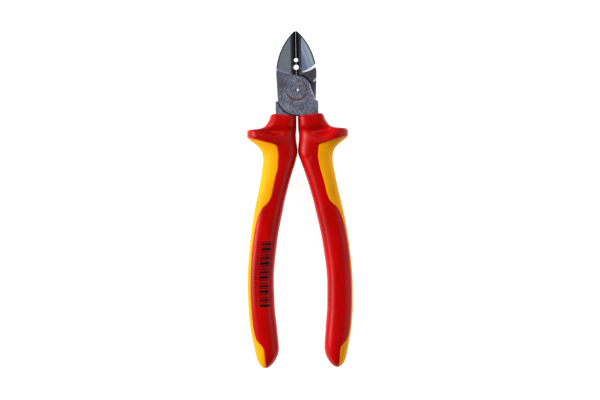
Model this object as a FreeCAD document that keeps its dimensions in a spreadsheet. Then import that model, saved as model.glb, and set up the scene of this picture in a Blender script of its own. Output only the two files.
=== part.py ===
import FreeCAD
import Part
import math
import os

import Sketcher

# Insulated diagonal cutting pliers with two wire stripping holes, 160 mm long.
#
# Frame: origin on the pivot axis, in the plane of the joint's flat back face. +Z runs
# along the pivot axis to the front face, +Y to the cutting tip, and +X to the handle
# that belongs to the front lever.
#
# Two forged levers lap over each other at half thickness and turn on one rivet. The
# front lever carries the left jaw and the right tang, and the rear lever is the same
# forging turned half a turn about the long axis. Each tang sits in a moulded sleeve,
# each sleeve in a hard grip shell, and a soft pad closes the shell's outer side.
#
# Outlines are written for the right half, with x measured outwards from the centre
# line. A sub-part's side is +1 on the right and -1 on the left.

V = FreeCAD.Vector
RIGHT, LEFT = 1, -1
UP, DOWN = True, False
# The vertical part of the normal of an upright wall, at most, and of a level face.
UPRIGHT, LEVEL = 1e-3, 0.9999
# The foot of the jaws reaches this far out from the cutting line, and starts this high.
JAW_FOOT_X, JAW_FOOT_Y = 3.0, 6.5

doc = FreeCAD.newDocument("diagonal_cutters")
sheet = doc.addObject("Spreadsheet::Sheet", "dims")


class Size:
    """A number together with the sheet expression that gives it."""

    def __init__(self, value, text=None):
        self.value = float(value)
        self.text = text or repr(float(value))

    def _join(self, sign, other, value):
        return Size(value, f"({self.text} {sign} {other.text})")

    def __add__(self, other):
        other = as_size(other)
        return self._join("+", other, self.value + other.value)

    def __sub__(self, other):
        other = as_size(other)
        return self._join("-", other, self.value - other.value)

    def __mul__(self, other):
        other = as_size(other)
        return self._join("*", other, self.value * other.value)

    def __truediv__(self, other):
        other = as_size(other)
        return self._join("/", other, self.value / other.value)


def as_size(number):
    return number if isinstance(number, Size) else Size(number)


def root(size):
    return Size(math.sqrt(size.value), f"sqrt({size.text})")


def cosine(angle):
    return Size(math.cos(math.radians(angle.value)), f"cos({angle.text} * 1 deg)")


def tangent(angle):
    return Size(math.tan(math.radians(angle.value)), f"tan({angle.text} * 1 deg)")


def dim(alias, value):
    """Puts a driving dimension in the next row of the sheet and returns it as a Size."""
    dim.row = getattr(dim, "row", 0) + 1
    sheet.set(f"A{dim.row}", alias)
    sheet.set(f"B{dim.row}", str(value))
    sheet.setAlias(f"B{dim.row}", alias)
    return Size(value, f"dims.{alias}")


# --- driving dimensions, in millimetres and degrees -------------------------------------
joint_thick = dim("joint_thick", 10.0)         # both lapped plates together
lap_gap = dim("lap_gap", 0.05)                 # between the two plates
edge_gap = dim("edge_gap", 0.03)               # from the centre line to each cutting edge

tip_y = dim("tip_y", 28.3)
tip_half = dim("tip_half", 0.6)                # the blunt end of each jaw
jaw_half = dim("jaw_half", 9.6)                # widest half width of the head
jaw_wide_y = dim("jaw_wide_y", 7.5)
ogive_radius = dim("ogive_radius", 28.54)      # the jaw's outer curve up to the tip
waist_half = dim("waist_half", 9.05)
waist_y = dim("waist_y", -4.7)
under_y = dim("under_y", 3.2)                  # underside of a jaw beside the other plate
under_x = dim("under_x", 6.28)
under_radius = dim("under_radius", 7.05)
corner_cut = dim("corner_cut", 1.5)            # bevel on the jaw's lower outer corner
plate_radius = dim("plate_radius", 6.8)        # round end of a plate beside the other jaw
plate_turn_x = dim("plate_turn_x", 6.76)       # where that round end turns straight
plate_turn_y = dim("plate_turn_y", 0.74)
shoulder_half = dim("shoulder_half", 10.15)
shoulder_y = dim("shoulder_y", -5.5)
lobe_x = dim("lobe_x", 0.37)                   # centre of a plate's lower edge, off the pivot
lobe_y = dim("lobe_y", -2.24)
lobe_radius = dim("lobe_radius", 9.95)
lobe_gap = dim("lobe_gap", 0.15)
lobe_start_y = dim("lobe_start_y", -6.0)
lobe_end_x = dim("lobe_end_x", 0.45)
blank_inner = dim("blank_inner", 1.7)
blank_end_y = dim("blank_end_y", -14.0)

grind_y = dim("grind_y", 6.9)                  # where the facets' height is given
bevel_start_y = dim("bevel_start_y", 3.0)      # the bevels are cut from below the jaw
facet_z = dim("facet_z", 9.8)                  # height of the front facets at grind_y
facet_tilt = dim("facet_tilt", 9.5)            # fall of the front facets towards the tip
roof_tilt = dim("roof_tilt", 4.0)              # fall of the facets towards their outer edge
back_tilt = dim("back_tilt", 3.5)              # rise of the back facets towards the tip
left_facet_arc = dim("left_facet_arc", 14.0)   # radius of the facets' lower boundary
left_facet_y = dim("left_facet_y", 21.6)
right_facet_arc = dim("right_facet_arc", 12.0)
right_facet_y = dim("right_facet_y", 20.4)
facet_wall_tilt = dim("facet_wall_tilt", 45.0)  # lean of the step at that boundary
facet_wall_high = dim("facet_wall_high", 8.0)
bevel_wide = dim("bevel_wide", 2.7)            # ground bevel beside each cutting edge
bevel_deep = dim("bevel_deep", 3.6)
edge_land = dim("edge_land", 0.15)
back_bevel_wide = dim("back_bevel_wide", 3.4)
back_bevel_deep = dim("back_bevel_deep", 5.9)

small_hole_y = dim("small_hole_y", 14.4)
small_hole_radius = dim("small_hole_radius", 0.9)
large_hole_y = dim("large_hole_y", 10.95)
large_hole_radius = dim("large_hole_radius", 1.15)
hole_wall = dim("hole_wall", 0.6)              # height of a stripping hole's straight wall
flare_high = dim("flare_high", 8.0)            # length of its countersinks
front_flare = dim("front_flare", 2.6)          # their steepness at the front and the back
back_flare = dim("back_flare", 3.4)

rivet_radius = dim("rivet_radius", 4.0)
rivet_head = dim("rivet_head", 4.85)
rivet_dimple = dim("rivet_dimple", 0.7)
rivet_dimple_deep = dim("rivet_dimple_deep", 0.45)
running_gap = dim("running_gap", 0.04)

tang_thick = dim("tang_thick", 6.5)
tang_inner = dim("tang_inner", 3.1)            # tang edges where it leaves the joint
tang_outer = dim("tang_outer", 10.0)
tang_bend_y = dim("tang_bend_y", -44.0)        # below this the tang is one long arc
tang_half = dim("tang_half", 2.6)
tang_end_y = dim("tang_end_y", -114.0)
bow_radius = dim("bow_radius", 165.0)
bow_y = dim("bow_y", -94.0)                    # where the handles stand furthest apart
bow_x = dim("bow_x", 18.95)
sleeve_wall = dim("sleeve_wall", 1.2)

rim_chamfer = dim("rim_chamfer", 0.35)         # round the joint's flat faces
jaw_chamfer = dim("jaw_chamfer", 0.6)          # along the outer edge of each facet
left_chamfer_y = dim("left_chamfer_y", 12.0)   # where that chamfer starts
right_chamfer_y = dim("right_chamfer_y", 13.6)
chamfer_reach = dim("chamfer_reach", 3.0)
half_right = dim("half_right", 45.0)

# Grip sections across the right handle: y, inner x, outer x, half thickness, corner radius.
GRIP_SECTIONS = [
    [-10.6, 0.30, 12.0, 7.4, 4.2],
    [-14.0, 0.35, 13.3, 8.0, 4.6],
    [-17.3, 0.40, 15.9, 8.4, 5.0],
    [-18.6, 0.45, 23.6, 10.6, 7.5],
    [-21.8, 0.75, 24.1, 11.2, 8.0],
    [-23.6, 0.65, 22.4, 10.4, 7.5],
    [-27.0, 0.25, 18.3, 8.6, 6.0],
    [-31.5, 0.60, 16.5, 7.9, 5.4],
    [-43.0, 4.30, 18.1, 8.1, 5.4],
    [-58.0, 8.20, 21.3, 8.1, 5.4],
    [-76.0, 11.55, 24.0, 8.0, 5.4],
    [-94.0, 12.90, 25.0, 7.8, 5.4],
    [-109.0, 12.10, 24.4, 7.4, 5.2],
    [-121.0, 10.95, 22.5, 7.0, 5.0],
    [-127.0, 12.20, 21.2, 6.0, 4.0],
    [-130.2, 14.20, 19.7, 4.2, 2.5],
    [-131.7, 16.20, 18.2, 1.4, 0.9],
]
SECTION_WORDS = ["y", "inner", "outer", "half", "corner"]
grip_sections = [
    [dim(f"grip_{n}_{word}", value) for word, value in zip(SECTION_WORDS, row)]
    for n, row in enumerate(GRIP_SECTIONS, start=1)
]

# The line between the hard shell and the soft pad, from the guard's end down to the tip.
PAD_LINE = [
    [23.0, -16.0],
    [22.9, -21.6],
    [20.6, -23.2],
    [12.6, -25.2],
    [10.1, -26.8],
    [9.6, -31.0],
    [13.4, -50.5],
    [17.3, -55.0],
    [20.0, -60.0],
    [22.6, -73.0],
    [24.0, -94.0],
    [23.5, -107.0],
    [21.6, -117.6],
    [18.4, -121.8],
    [17.2, -133.0],
]
pad_line = [
    (dim(f"pad_line_{n}_x", x), dim(f"pad_line_{n}_y", y))
    for n, (x, y) in enumerate(PAD_LINE, start=1)
]
grip_top_inner_y = dim("grip_top_inner_y", -12.4)
grip_top_outer_y = dim("grip_top_outer_y", -10.9)
outside_x = dim("outside_x", 32.0)             # clear of the handles on every side

doc.recompute()

mid_z = joint_thick / 2
minus = Size(-1)


# --- drawing helpers --------------------------------------------------------------------
def new_body(name):
    body = doc.addObject("PartDesign::Body", name)
    body.Label = name
    return body


def origin_plane(body, role):
    return next(f for f in body.Origin.OriginFeatures if f.Role == role)


def new_sketch(body, name, role="XY_Plane", offset=None):
    """A sketch on one of the body's own planes, moved by an offset expression."""
    sketch = body.newObject("Sketcher::SketchObject", name)
    sketch.AttachmentSupport = [(origin_plane(body, role), "")]
    sketch.MapMode = "FlatFace"
    if offset:
        sketch.setExpression("AttachmentOffset", offset)
    return sketch


def shift(x, y, z, turn="rotation(vector(0; 0; 1); 0)"):
    """The offset expression for a move and a turn in the plane's own axes."""
    parts = "; ".join(as_size(part).text for part in (x, y, z))
    return f"placement(vector({parts}); {turn})"


def pin(sketch, geometry, point, x, y):
    """Ties one point of the geometry to its place by two driving distances."""
    for kind, size in (("DistanceX", x), ("DistanceY", y)):
        number = sketch.addConstraint(
            Sketcher.Constraint(kind, -1, 1, geometry, point, size.value)
        )
        sketch.setExpression(f"Constraints[{number}]", size.text)


def arc_between(start, end, radius, bend):
    """The shorter arc from start to end; a bend of +1 puts its centre on the left."""
    chord = end - start
    half = chord.Length / 2
    middle = (start + end) / 2
    left = V(-chord.y, chord.x, 0).normalize()
    centre = middle + left * bend * math.sqrt(radius**2 - half**2)
    crown = centre - left * bend * radius
    return Part.Arc(start, crown, end)


def outline(sketch, corners, side=RIGHT):
    """Closes a line through the corners: (x, y), or (x, y, radius, bend) for an arc on."""
    corners = [
        (as_size(corner[0]) * side, as_size(corner[1]), *corner[2:]) for corner in corners
    ]
    first = sketch.GeometryCount
    count = len(corners)
    for n, corner in enumerate(corners):
        after = corners[(n + 1) % count]
        start = V(corner[0].value, corner[1].value, 0)
        end = V(after[0].value, after[1].value, 0)
        if len(corner) == 2:
            sketch.addGeometry(Part.LineSegment(start, end), False)
        else:
            curve = arc_between(start, end, corner[2].value, corner[3] * side)
            sketch.addGeometry(curve, False)
    ends = [arc_ends(sketch, first + n, corners[n]) for n in range(count)]
    for n in range(count):
        after = (n + 1) % count
        sketch.addConstraint(
            Sketcher.Constraint(
                "Coincident", first + n, ends[n][1], first + after, ends[after][0]
            )
        )
    for n, corner in enumerate(corners):
        pin(sketch, first + n, ends[n][0], corner[0], corner[1])
        if len(corner) > 2:
            number = sketch.addConstraint(
                Sketcher.Constraint("Radius", first + n, corner[2].value)
            )
            sketch.setExpression(f"Constraints[{number}]", corner[2].text)


def arc_ends(sketch, geometry, corner):
    """Which end points of a curve are its start and its end along the outline."""
    at_start = V(corner[0].value, corner[1].value, 0)
    drawn = sketch.getPoint(geometry, 1)
    return (1, 2) if drawn.distanceToPoint(at_start) < 1e-6 else (2, 1)


def circle(sketch, x, y, radius):
    x, y = as_size(x), as_size(y)
    number = sketch.GeometryCount
    sketch.addGeometry(
        Part.Circle(V(x.value, y.value, 0), V(0, 0, 1), radius.value), False
    )
    pin(sketch, number, 3, x, y)
    tie = sketch.addConstraint(Sketcher.Constraint("Radius", number, radius.value))
    sketch.setExpression(f"Constraints[{tie}]", radius.text)


def pad(body, name, corners, side, low_z, high_z):
    """Adds the outline's prism between two heights."""
    sketch = new_sketch(body, f"{name}_sketch", offset=shift(0, 0, low_z))
    outline(sketch, corners, side)
    feature = body.newObject("PartDesign::Pad", name)
    feature.Profile = sketch
    feature.setExpression("Length", (as_size(high_z) - low_z).text)
    return finish_feature(body, feature, grows=True)


def pocket(body, name, sketch, upwards=DOWN, length=None, taper=None):
    """Cuts the sketch's prism, through everything unless a length is given."""
    feature = body.newObject("PartDesign::Pocket", name)
    feature.Profile = sketch
    feature.Reversed = upwards
    if length is None:
        feature.Type = "ThroughAll"
    else:
        feature.setExpression("Length", length.text)
    if taper:
        feature.setExpression("TaperAngle", taper.text)
    return finish_feature(body, feature, grows=False)


def slot(body, name, corners, side, low_z, high_z):
    """Cuts the outline's prism between two heights."""
    sketch = new_sketch(body, f"{name}_sketch", offset=shift(0, 0, low_z))
    outline(sketch, corners, side)
    return pocket(body, name, sketch, UP, as_size(high_z) - low_z)


def finish_feature(body, feature, grows):
    """Recomputes and makes sure that the feature really added or removed material."""
    before = getattr(finish_feature, "volumes", {}).get(body.Name, 0.0)
    body.Tip = feature
    doc.recompute()
    volume = feature.Shape.Volume
    if (volume > before) != grows or abs(volume - before) < 1e-3:
        raise RuntimeError(f"{body.Name}.{feature.Name} changed {before} to {volume}")
    finish_feature.volumes = {
        **getattr(finish_feature, "volumes", {}), body.Name: volume
    }
    return feature


# --- the two forged levers --------------------------------------------------------------
def circle_x(centre_x, centre_y, radius, y):
    """Where a circle crosses the height y on its outer side."""
    rise = y - centre_y
    return centre_x + root(radius * radius - rise * rise)


def waist_x(y):
    """The straight side of the head between its widest point and its waist."""
    slope = (jaw_half - waist_half) / (jaw_wide_y - waist_y)
    return waist_half + slope * (y - waist_y)


def plate_corners():
    """A joint plate below its jaw, with the jaw on the left and the tang on the right."""
    lobe_top = circle_x(lobe_x * minus, lobe_y, lobe_radius, lobe_start_y)
    return [
        (edge_gap * minus, under_top_y, under_radius, 1),
        (under_x * minus, under_y),
        ((waist_x(under_y) - corner_cut) * minus, under_y),
        (waist_x(under_y + corner_cut) * minus, under_y + corner_cut),
        (waist_half * minus, waist_y),
        (lobe_top * minus, lobe_start_y, lobe_radius, 1),
        (lobe_end_x * minus, lobe_bottom_y),
        (blank_inner, grip_top_inner_y),
        (blank_inner, blank_end_y),
        (shoulder_half, blank_end_y),
        (shoulder_half, shoulder_y),
        (waist_half, waist_y),
        (plate_turn_x, plate_turn_y, plate_radius, 1),
        (edge_gap * minus, plate_top_y),
    ]


def jaw_corners():
    """A jaw on the left, through both layers."""
    return [
        (edge_gap * minus, tip_y),
        (tip_half * minus, tip_y, ogive_radius, 1),
        (jaw_half * minus, jaw_wide_y),
        (waist_x(under_y + corner_cut) * minus, under_y + corner_cut),
        ((waist_x(under_y) - corner_cut) * minus, under_y),
        (under_x * minus, under_y, under_radius, -1),
        (edge_gap * minus, under_top_y),
    ]


def shoulder_corners():
    """A tang's root on the right, through both layers, round the other plate's lobe."""
    gap_radius = lobe_radius + lobe_gap
    top_x = circle_x(lobe_x * minus, lobe_y, gap_radius, shoulder_y)
    bottom_y = lobe_y - root(
        gap_radius * gap_radius - (blank_inner + lobe_x) * (blank_inner + lobe_x)
    )
    return [
        (shoulder_half, shoulder_y),
        (top_x, shoulder_y, gap_radius, -1),
        (blank_inner, bottom_y),
        (blank_inner, blank_end_y),
        (shoulder_half, blank_end_y),
    ]


def tang_corners(wall=Size(0)):
    """The tang on the right, or the sleeve round it when it is given a wall."""
    half = tang_half + wall
    centre_x = bow_x - bow_radius
    rims = [
        [circle_x(centre_x, bow_y, bow_radius + edge, y) for y in (tang_bend_y, tang_end_y)]
        for edge in (half * minus, half)
    ]
    (inner_bend, inner_end), (outer_bend, outer_end) = rims
    end_y = tang_end_y - wall
    return [
        (tang_inner - wall, blank_end_y),
        (inner_bend, tang_bend_y, bow_radius - half, -1),
        (inner_end, end_y),
        (outer_end, end_y, bow_radius + half, 1),
        (outer_bend, tang_bend_y),
        (tang_outer + wall, blank_end_y),
    ]


lobe_bottom_y = lobe_y - root(
    lobe_radius * lobe_radius - (lobe_end_x - lobe_x) * (lobe_end_x - lobe_x)
)
plate_top_y = root(plate_radius * plate_radius - edge_gap * edge_gap)
under_top_y = root(under_radius * under_radius - edge_gap * edge_gap)


def facet_plane(is_front, side, depth):
    """The offset of a jaw's wide face, which falls to the tip and to its outer edge."""
    if is_front:
        height, tilt, roof = facet_z - depth, facet_tilt * minus, roof_tilt * side
    else:
        height, tilt = joint_thick - facet_z + depth, back_tilt
        roof = roof_tilt * minus * side
    turn = (
        f"rotation(vector(1; 0; 0); {tilt.text}) * "
        f"rotation(vector(0; 1; 0); {roof.text})"
    )
    return shift(0, grind_y, height, turn)


def grind_facets(body, side):
    """Both wide faces of a jaw, with a leaning step where they stop."""
    if side == RIGHT:
        centre_y, radius = right_facet_y, right_facet_arc
    else:
        centre_y, radius = left_facet_y, left_facet_arc
    for name, is_front in (("front", True), ("back", False)):
        plane = facet_plane(is_front, side, Size(0))
        sketch = new_sketch(body, f"{name}_facet_sketch", offset=plane)
        circle(sketch, 0, centre_y - grind_y, radius)
        pocket(
            body, f"{name}_facet", sketch, is_front, facet_wall_high, facet_wall_tilt
        )


def chamfer_facets(body, side):
    """A chamfer along the outer edge of each facet, cut by a tapered ring sector."""
    start_y = right_chamfer_y if side == RIGHT else left_chamfer_y
    for name, is_front in (("front", True), ("back", False)):
        stretch = cosine(facet_tilt if is_front else back_tilt)
        low = (start_y - grind_y) / stretch
        high = (tip_y - grind_y) / stretch
        low_x = circle_x(jaw_half - ogive_radius, jaw_wide_y, ogive_radius, start_y)
        plane = facet_plane(is_front, side, jaw_chamfer)
        sketch = new_sketch(body, f"{name}_chamfer_sketch", offset=plane)
        corners = [
            (low_x, low, ogive_radius / stretch, 1),
            (tip_half, high),
            (tip_half, high + chamfer_reach),
            (jaw_half + chamfer_reach, high + chamfer_reach),
            (jaw_half + chamfer_reach, low),
        ]
        outline(sketch, corners, side)
        pocket(
            body, f"{name}_facet_chamfer", sketch, is_front, jaw_chamfer * 1.5, half_right
        )


def grind_bevels(body, side):
    """The two bevels that leave a thin land along the cutting edge."""
    turn = f"rotation(vector(1; 0; 0); {(facet_tilt * minus).text})"
    below = grind_y - bevel_start_y
    height = facet_z + below * tangent(facet_tilt)
    sketch = new_sketch(
        body, "bevel_sketch", "XZ_Plane", shift(0, height, bevel_start_y * minus, turn)
    )
    steep = bevel_deep / bevel_wide
    high = joint_thick
    over = bevel_wide + high / steep
    outline(sketch, [(0, bevel_deep * minus), (over, high), (0, high)], side)
    back_steep = back_bevel_deep / back_bevel_wide
    land = (bevel_deep + edge_land) * minus
    back_over = high / back_steep
    outline(sketch, [(0, land), (back_over, land - high), (0, land - high)], side)
    pocket(body, "bevels", sketch)


def drill_strip_holes(body, side):
    """Half of each stripping hole: a short straight wall, countersunk front and back."""
    holes = (
        ("small", small_hole_y, small_hole_radius),
        ("large", large_hole_y, large_hole_radius),
    )
    for name, y, radius in holes:
        edge_z = facet_z - bevel_deep - (y - grind_y) * tangent(facet_tilt) - edge_land / 2
        wall_low, wall_high = edge_z - hole_wall / 2, edge_z + hole_wall / 2
        sketch = new_sketch(
            body, f"{name}_hole_sketch", "XZ_Plane", shift(0, 0, y * minus)
        )
        corners = [
            (0, wall_low - flare_high),
            (radius + flare_high / back_flare, wall_low - flare_high),
            (radius, wall_low),
            (radius, wall_high),
            (radius + flare_high / front_flare, wall_high + flare_high),
            (0, wall_high + flare_high),
        ]
        outline(sketch, corners, side)
        turn_profile(body, f"{name}_hole", sketch, "PartDesign::Groove")


def turn_profile(body, name, sketch, kind):
    """A full turn of the sketch about its own vertical axis."""
    feature = body.newObject(kind, name)
    feature.Profile = sketch
    feature.ReferenceAxis = (sketch, ["V_Axis"])
    feature.Angle = 360
    return finish_feature(body, feature, grows=kind.endswith("Revolution"))


def rivet_profile(radius, head, low_z, high_z):
    """Half section of the rivet's seat between two heights, countersunk at the outer faces."""
    depth = head - radius
    corners = [(0, low_z)]
    if low_z.value <= 0:
        corners += [(head, low_z), (radius, low_z + depth)]
    else:
        corners += [(radius, low_z)]
    if high_z.value >= joint_thick.value:
        corners += [(radius, high_z - depth), (head, high_z)]
    else:
        corners += [(radius, high_z)]
    return corners + [(0, high_z)]


def normal_at(face, point):
    return face.normalAt(*face.Surface.parameter(point))


def joint_rim(shape):
    """Names of the edges between an upright wall and the flat front or back face.

    The short edges at the foot of the jaws, beside the cutting line, stay sharp.
    """
    names = []
    for number, edge in enumerate(shape.Edges, start=1):
        middle = edge.valueAt((edge.FirstParameter + edge.LastParameter) / 2)
        slopes = sorted(
            abs(normal_at(face, middle).z)
            for face in shape.ancestorsOfType(edge, Part.Face)
        )
        on_face = min(abs(middle.z), abs(middle.z - joint_thick.value)) < 1e-6
        above_grip = middle.y > grip_top_inner_y.value
        jaw_foot = middle.y > JAW_FOOT_Y and abs(middle.x) < JAW_FOOT_X
        if slopes[0] < UPRIGHT and slopes[-1] > LEVEL and on_face and above_grip and not jaw_foot:
            names.append(f"Edge{number}")
    return names


def chamfer_joint(body):
    """Bevels the rim of the joint's flat faces."""
    base = body.Tip
    feature = body.newObject("PartDesign::Chamfer", "joint_chamfer")
    feature.Base = (base, joint_rim(base.Shape))
    feature.setExpression("Size", rim_chamfer.text)
    return finish_feature(body, feature, grows=False)


def make_lever(name, jaw_side, is_front):
    """A whole forging: jaw on one side, plate on one face, tang on the other side."""
    body = new_body(name)
    tang_side = -jaw_side
    if is_front:
        plate = (mid_z + lap_gap / 2, joint_thick)
    else:
        plate = (Size(0), mid_z - lap_gap / 2)
    pad(body, "jaw", jaw_corners(), tang_side, Size(0), joint_thick)
    grind_facets(body, jaw_side)
    chamfer_facets(body, jaw_side)
    grind_bevels(body, jaw_side)
    drill_strip_holes(body, tang_side)
    pad(body, "plate", plate_corners(), tang_side, *plate)
    pad(body, "shoulder", shoulder_corners(), tang_side, Size(0), joint_thick)
    tang = (mid_z - tang_thick / 2, mid_z + tang_thick / 2)
    pad(body, "tang", tang_corners(), tang_side, *tang)
    play = running_gap if is_front else Size(0)
    seat = new_sketch(body, "rivet_seat_sketch", "XZ_Plane")
    low_z, high_z = (mid_z * 0.5, joint_thick) if is_front else (Size(0), mid_z * 1.5)
    outline(seat, rivet_profile(rivet_radius + play, rivet_head + play, low_z, high_z))
    turn_profile(body, "rivet_seat", seat, "PartDesign::Groove")
    chamfer_joint(body)
    return body


def make_rivet():
    """The joint's rivet, spun flush into both faces, with a centre dimple at the front."""
    body = new_body("joint_rivet")
    profile = new_sketch(body, "rivet_sketch", "XZ_Plane")
    depth = rivet_head - rivet_radius
    outline(
        profile,
        [
            (0, 0),
            (rivet_head, 0),
            (rivet_radius, depth),
            (rivet_radius, joint_thick - depth),
            (rivet_head, joint_thick),
            (rivet_dimple, joint_thick),
            (0, joint_thick - rivet_dimple_deep),
        ],
    )
    turn_profile(body, "rivet", profile, "PartDesign::Revolution")
    return body


# --- sleeves, grip shells and pads ------------------------------------------------------
def make_sleeve(name, side):
    """The moulded sleeve round a tang, closed at its lower end."""
    body = new_body(name)
    reach = tang_thick / 2 + sleeve_wall
    pad(body, "sleeve", tang_corners(sleeve_wall), side, mid_z - reach, mid_z + reach)
    tang = (mid_z - tang_thick / 2, mid_z + tang_thick / 2)
    slot(body, "tang_hole", tang_corners(), side, *tang)
    return body


def section_corners(inner, outer, half, corner):
    """A grip section: an oblong with round corners, centred on the middle height."""
    low, high = mid_z - half, mid_z + half
    return [
        (inner + corner, low),
        (outer - corner, low, corner, 1),
        (outer, low + corner),
        (outer, high - corner, corner, 1),
        (outer - corner, high),
        (inner + corner, high, corner, 1),
        (inner, high - corner),
        (inner, low + corner, corner, 1),
    ]


def add_grip_form(body, side):
    """The whole outer form of a handle, guard included, from section to section."""
    sections = []
    for n, (y, inner, outer, half, corner) in enumerate(grip_sections, start=1):
        sketch = new_sketch(
            body, f"section_{n}_sketch", "XZ_Plane", shift(0, 0, y * minus)
        )
        outline(sketch, section_corners(inner, outer, half, corner), side)
        sections.append(sketch)
    loft = body.newObject("PartDesign::AdditiveLoft", "grip_form")
    loft.Profile = sections[0]
    loft.Sections = sections[1:]
    loft.Ruled = True
    finish_feature(body, loft, grows=True)
    trim = new_sketch(body, "top_trim_sketch")
    outline(
        trim,
        [
            (Size(0), grip_top_inner_y),
            (grip_sections[1][2], grip_top_outer_y),
            (outside_x, grip_top_outer_y),
            (outside_x, 0),
            (0, 0),
        ],
        side,
    )
    cut_both_ways(body, "top_trim", trim)


def cut_both_ways(body, name, sketch):
    """Cuts a sketch drawn at the back face's height through everything, both ways."""
    feature = body.newObject("PartDesign::Pocket", name)
    feature.Profile = sketch
    feature.Type = "ThroughAll"
    feature.Midplane = True
    return finish_feature(body, feature, grows=False)


def hollow_for_sleeve(body, side):
    """Room for the sleeve, and for the full-thickness end of the forging above it."""
    reach = tang_thick / 2 + sleeve_wall
    slot(body, "sleeve_room", tang_corners(sleeve_wall), side, mid_z - reach, mid_z + reach)
    recess = [
        (blank_inner, blank_end_y),
        (blank_inner, grip_top_inner_y),
        (0, grip_top_inner_y),
        (0, 0),
        (shoulder_half, 0),
        (shoulder_half, blank_end_y),
    ]
    slot(body, "root_room", recess, side, Size(0), joint_thick)


def make_shell(name, side):
    """The hard shell: the grip form less the pad's zone on its outer side."""
    body = new_body(name)
    add_grip_form(body, side)
    zone = new_sketch(body, "pad_zone_sketch")
    last_y = pad_line[-1][1]
    outline(zone, [*pad_line, (outside_x, last_y), (outside_x, pad_line[0][1])], side)
    cut_both_ways(body, "pad_zone", zone)
    hollow_for_sleeve(body, side)
    return body


def make_pad(name, side):
    """The soft pad: the part of the grip form on the outer side of the dividing line."""
    body = new_body(name)
    add_grip_form(body, side)
    zone = new_sketch(body, "shell_zone_sketch")
    last_y = pad_line[-1][1]
    beyond = outside_x * minus
    corners = [
        (pad_line[0][0], 0),
        *pad_line,
        (beyond, last_y),
        (beyond, 0),
    ]
    outline(zone, corners, side)
    cut_both_ways(body, "shell_zone", zone)
    reach = tang_thick / 2 + sleeve_wall
    slot(body, "sleeve_room", tang_corners(sleeve_wall), side, mid_z - reach, mid_z + reach)
    return body


# --- the assembly -----------------------------------------------------------------------
parts = [
    make_lever("front_lever", LEFT, True),
    make_lever("rear_lever", RIGHT, False),
    make_rivet(),
]
for word, side in (("left", LEFT), ("right", RIGHT)):
    parts.append(make_sleeve(f"{word}_tang_sleeve", side))
    parts.append(make_shell(f"{word}_grip_shell", side))
    parts.append(make_pad(f"{word}_soft_pad", side))

doc.recompute()
for item in doc.Objects:
    if {"Invalid", "Error"} & set(item.State):
        raise RuntimeError(f"{item.Name} failed: {item.State}")
for body in parts:
    shape = body.Shape
    if shape.isNull() or not shape.isValid() or len(shape.Solids) != 1:
        raise RuntimeError(f"{body.Label} is not one valid solid")

os.makedirs("parts", exist_ok=True)
for body in parts:
    body.Shape.exportStep(os.path.join("parts", f"{body.Label}.step"))
    box = body.Shape.BoundBox
    print(f"{body.Label}: {box.XLength:.2f} x {box.YLength:.2f} x {box.ZLength:.2f} mm")
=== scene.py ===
import math

import bmesh
import bpy
import numpy as np
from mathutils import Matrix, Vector


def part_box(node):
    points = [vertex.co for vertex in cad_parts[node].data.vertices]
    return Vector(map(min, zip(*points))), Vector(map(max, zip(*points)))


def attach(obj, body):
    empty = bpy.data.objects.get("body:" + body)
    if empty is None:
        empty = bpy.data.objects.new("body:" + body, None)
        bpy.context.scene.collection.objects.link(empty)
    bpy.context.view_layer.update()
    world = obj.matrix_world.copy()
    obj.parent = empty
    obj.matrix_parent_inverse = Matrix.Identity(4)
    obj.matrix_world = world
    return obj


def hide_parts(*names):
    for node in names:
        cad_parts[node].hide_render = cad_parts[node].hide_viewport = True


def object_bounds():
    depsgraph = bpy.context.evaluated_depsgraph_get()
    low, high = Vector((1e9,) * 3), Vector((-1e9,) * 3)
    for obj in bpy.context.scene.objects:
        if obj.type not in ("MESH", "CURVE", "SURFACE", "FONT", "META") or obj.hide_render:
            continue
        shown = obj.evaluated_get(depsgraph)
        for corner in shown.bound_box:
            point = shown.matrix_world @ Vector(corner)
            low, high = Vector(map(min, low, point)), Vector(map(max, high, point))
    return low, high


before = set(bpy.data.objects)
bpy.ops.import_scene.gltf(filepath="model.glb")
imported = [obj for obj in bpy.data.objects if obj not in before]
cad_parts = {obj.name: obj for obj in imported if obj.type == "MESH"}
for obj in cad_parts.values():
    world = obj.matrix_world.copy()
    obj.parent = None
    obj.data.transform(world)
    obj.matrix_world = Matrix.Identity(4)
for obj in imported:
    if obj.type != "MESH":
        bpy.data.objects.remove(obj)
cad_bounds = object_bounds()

# Insulated diagonal cutting pliers, seen from the front. Lengths are in millimetres in
# the part's own frame, and MM turns them into metres. The levers and the rivet are the
# CAD nodes. The grips are built here, each as a hard red shell and a soft yellow pad.
#
# Grip outlines are written for the right handle, with x measured outwards from the
# centre line. A handle's side is +1 on the right and -1 on the left, and the two grips
# differ only by PAD_MOVED and WIDER. A mark is a distance down the handle from its top.

MM = 0.001
RIVET_LOW, RIVET_HIGH = (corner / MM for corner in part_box("joint_rivet"))
MID_Z = (RIVET_LOW.z + RIVET_HIGH.z) / 2
FLOOR_Z = cad_bounds[0].z
HANDLES = {"left": (-1, "rear_half"), "right": (1, "front_half")}

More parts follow.
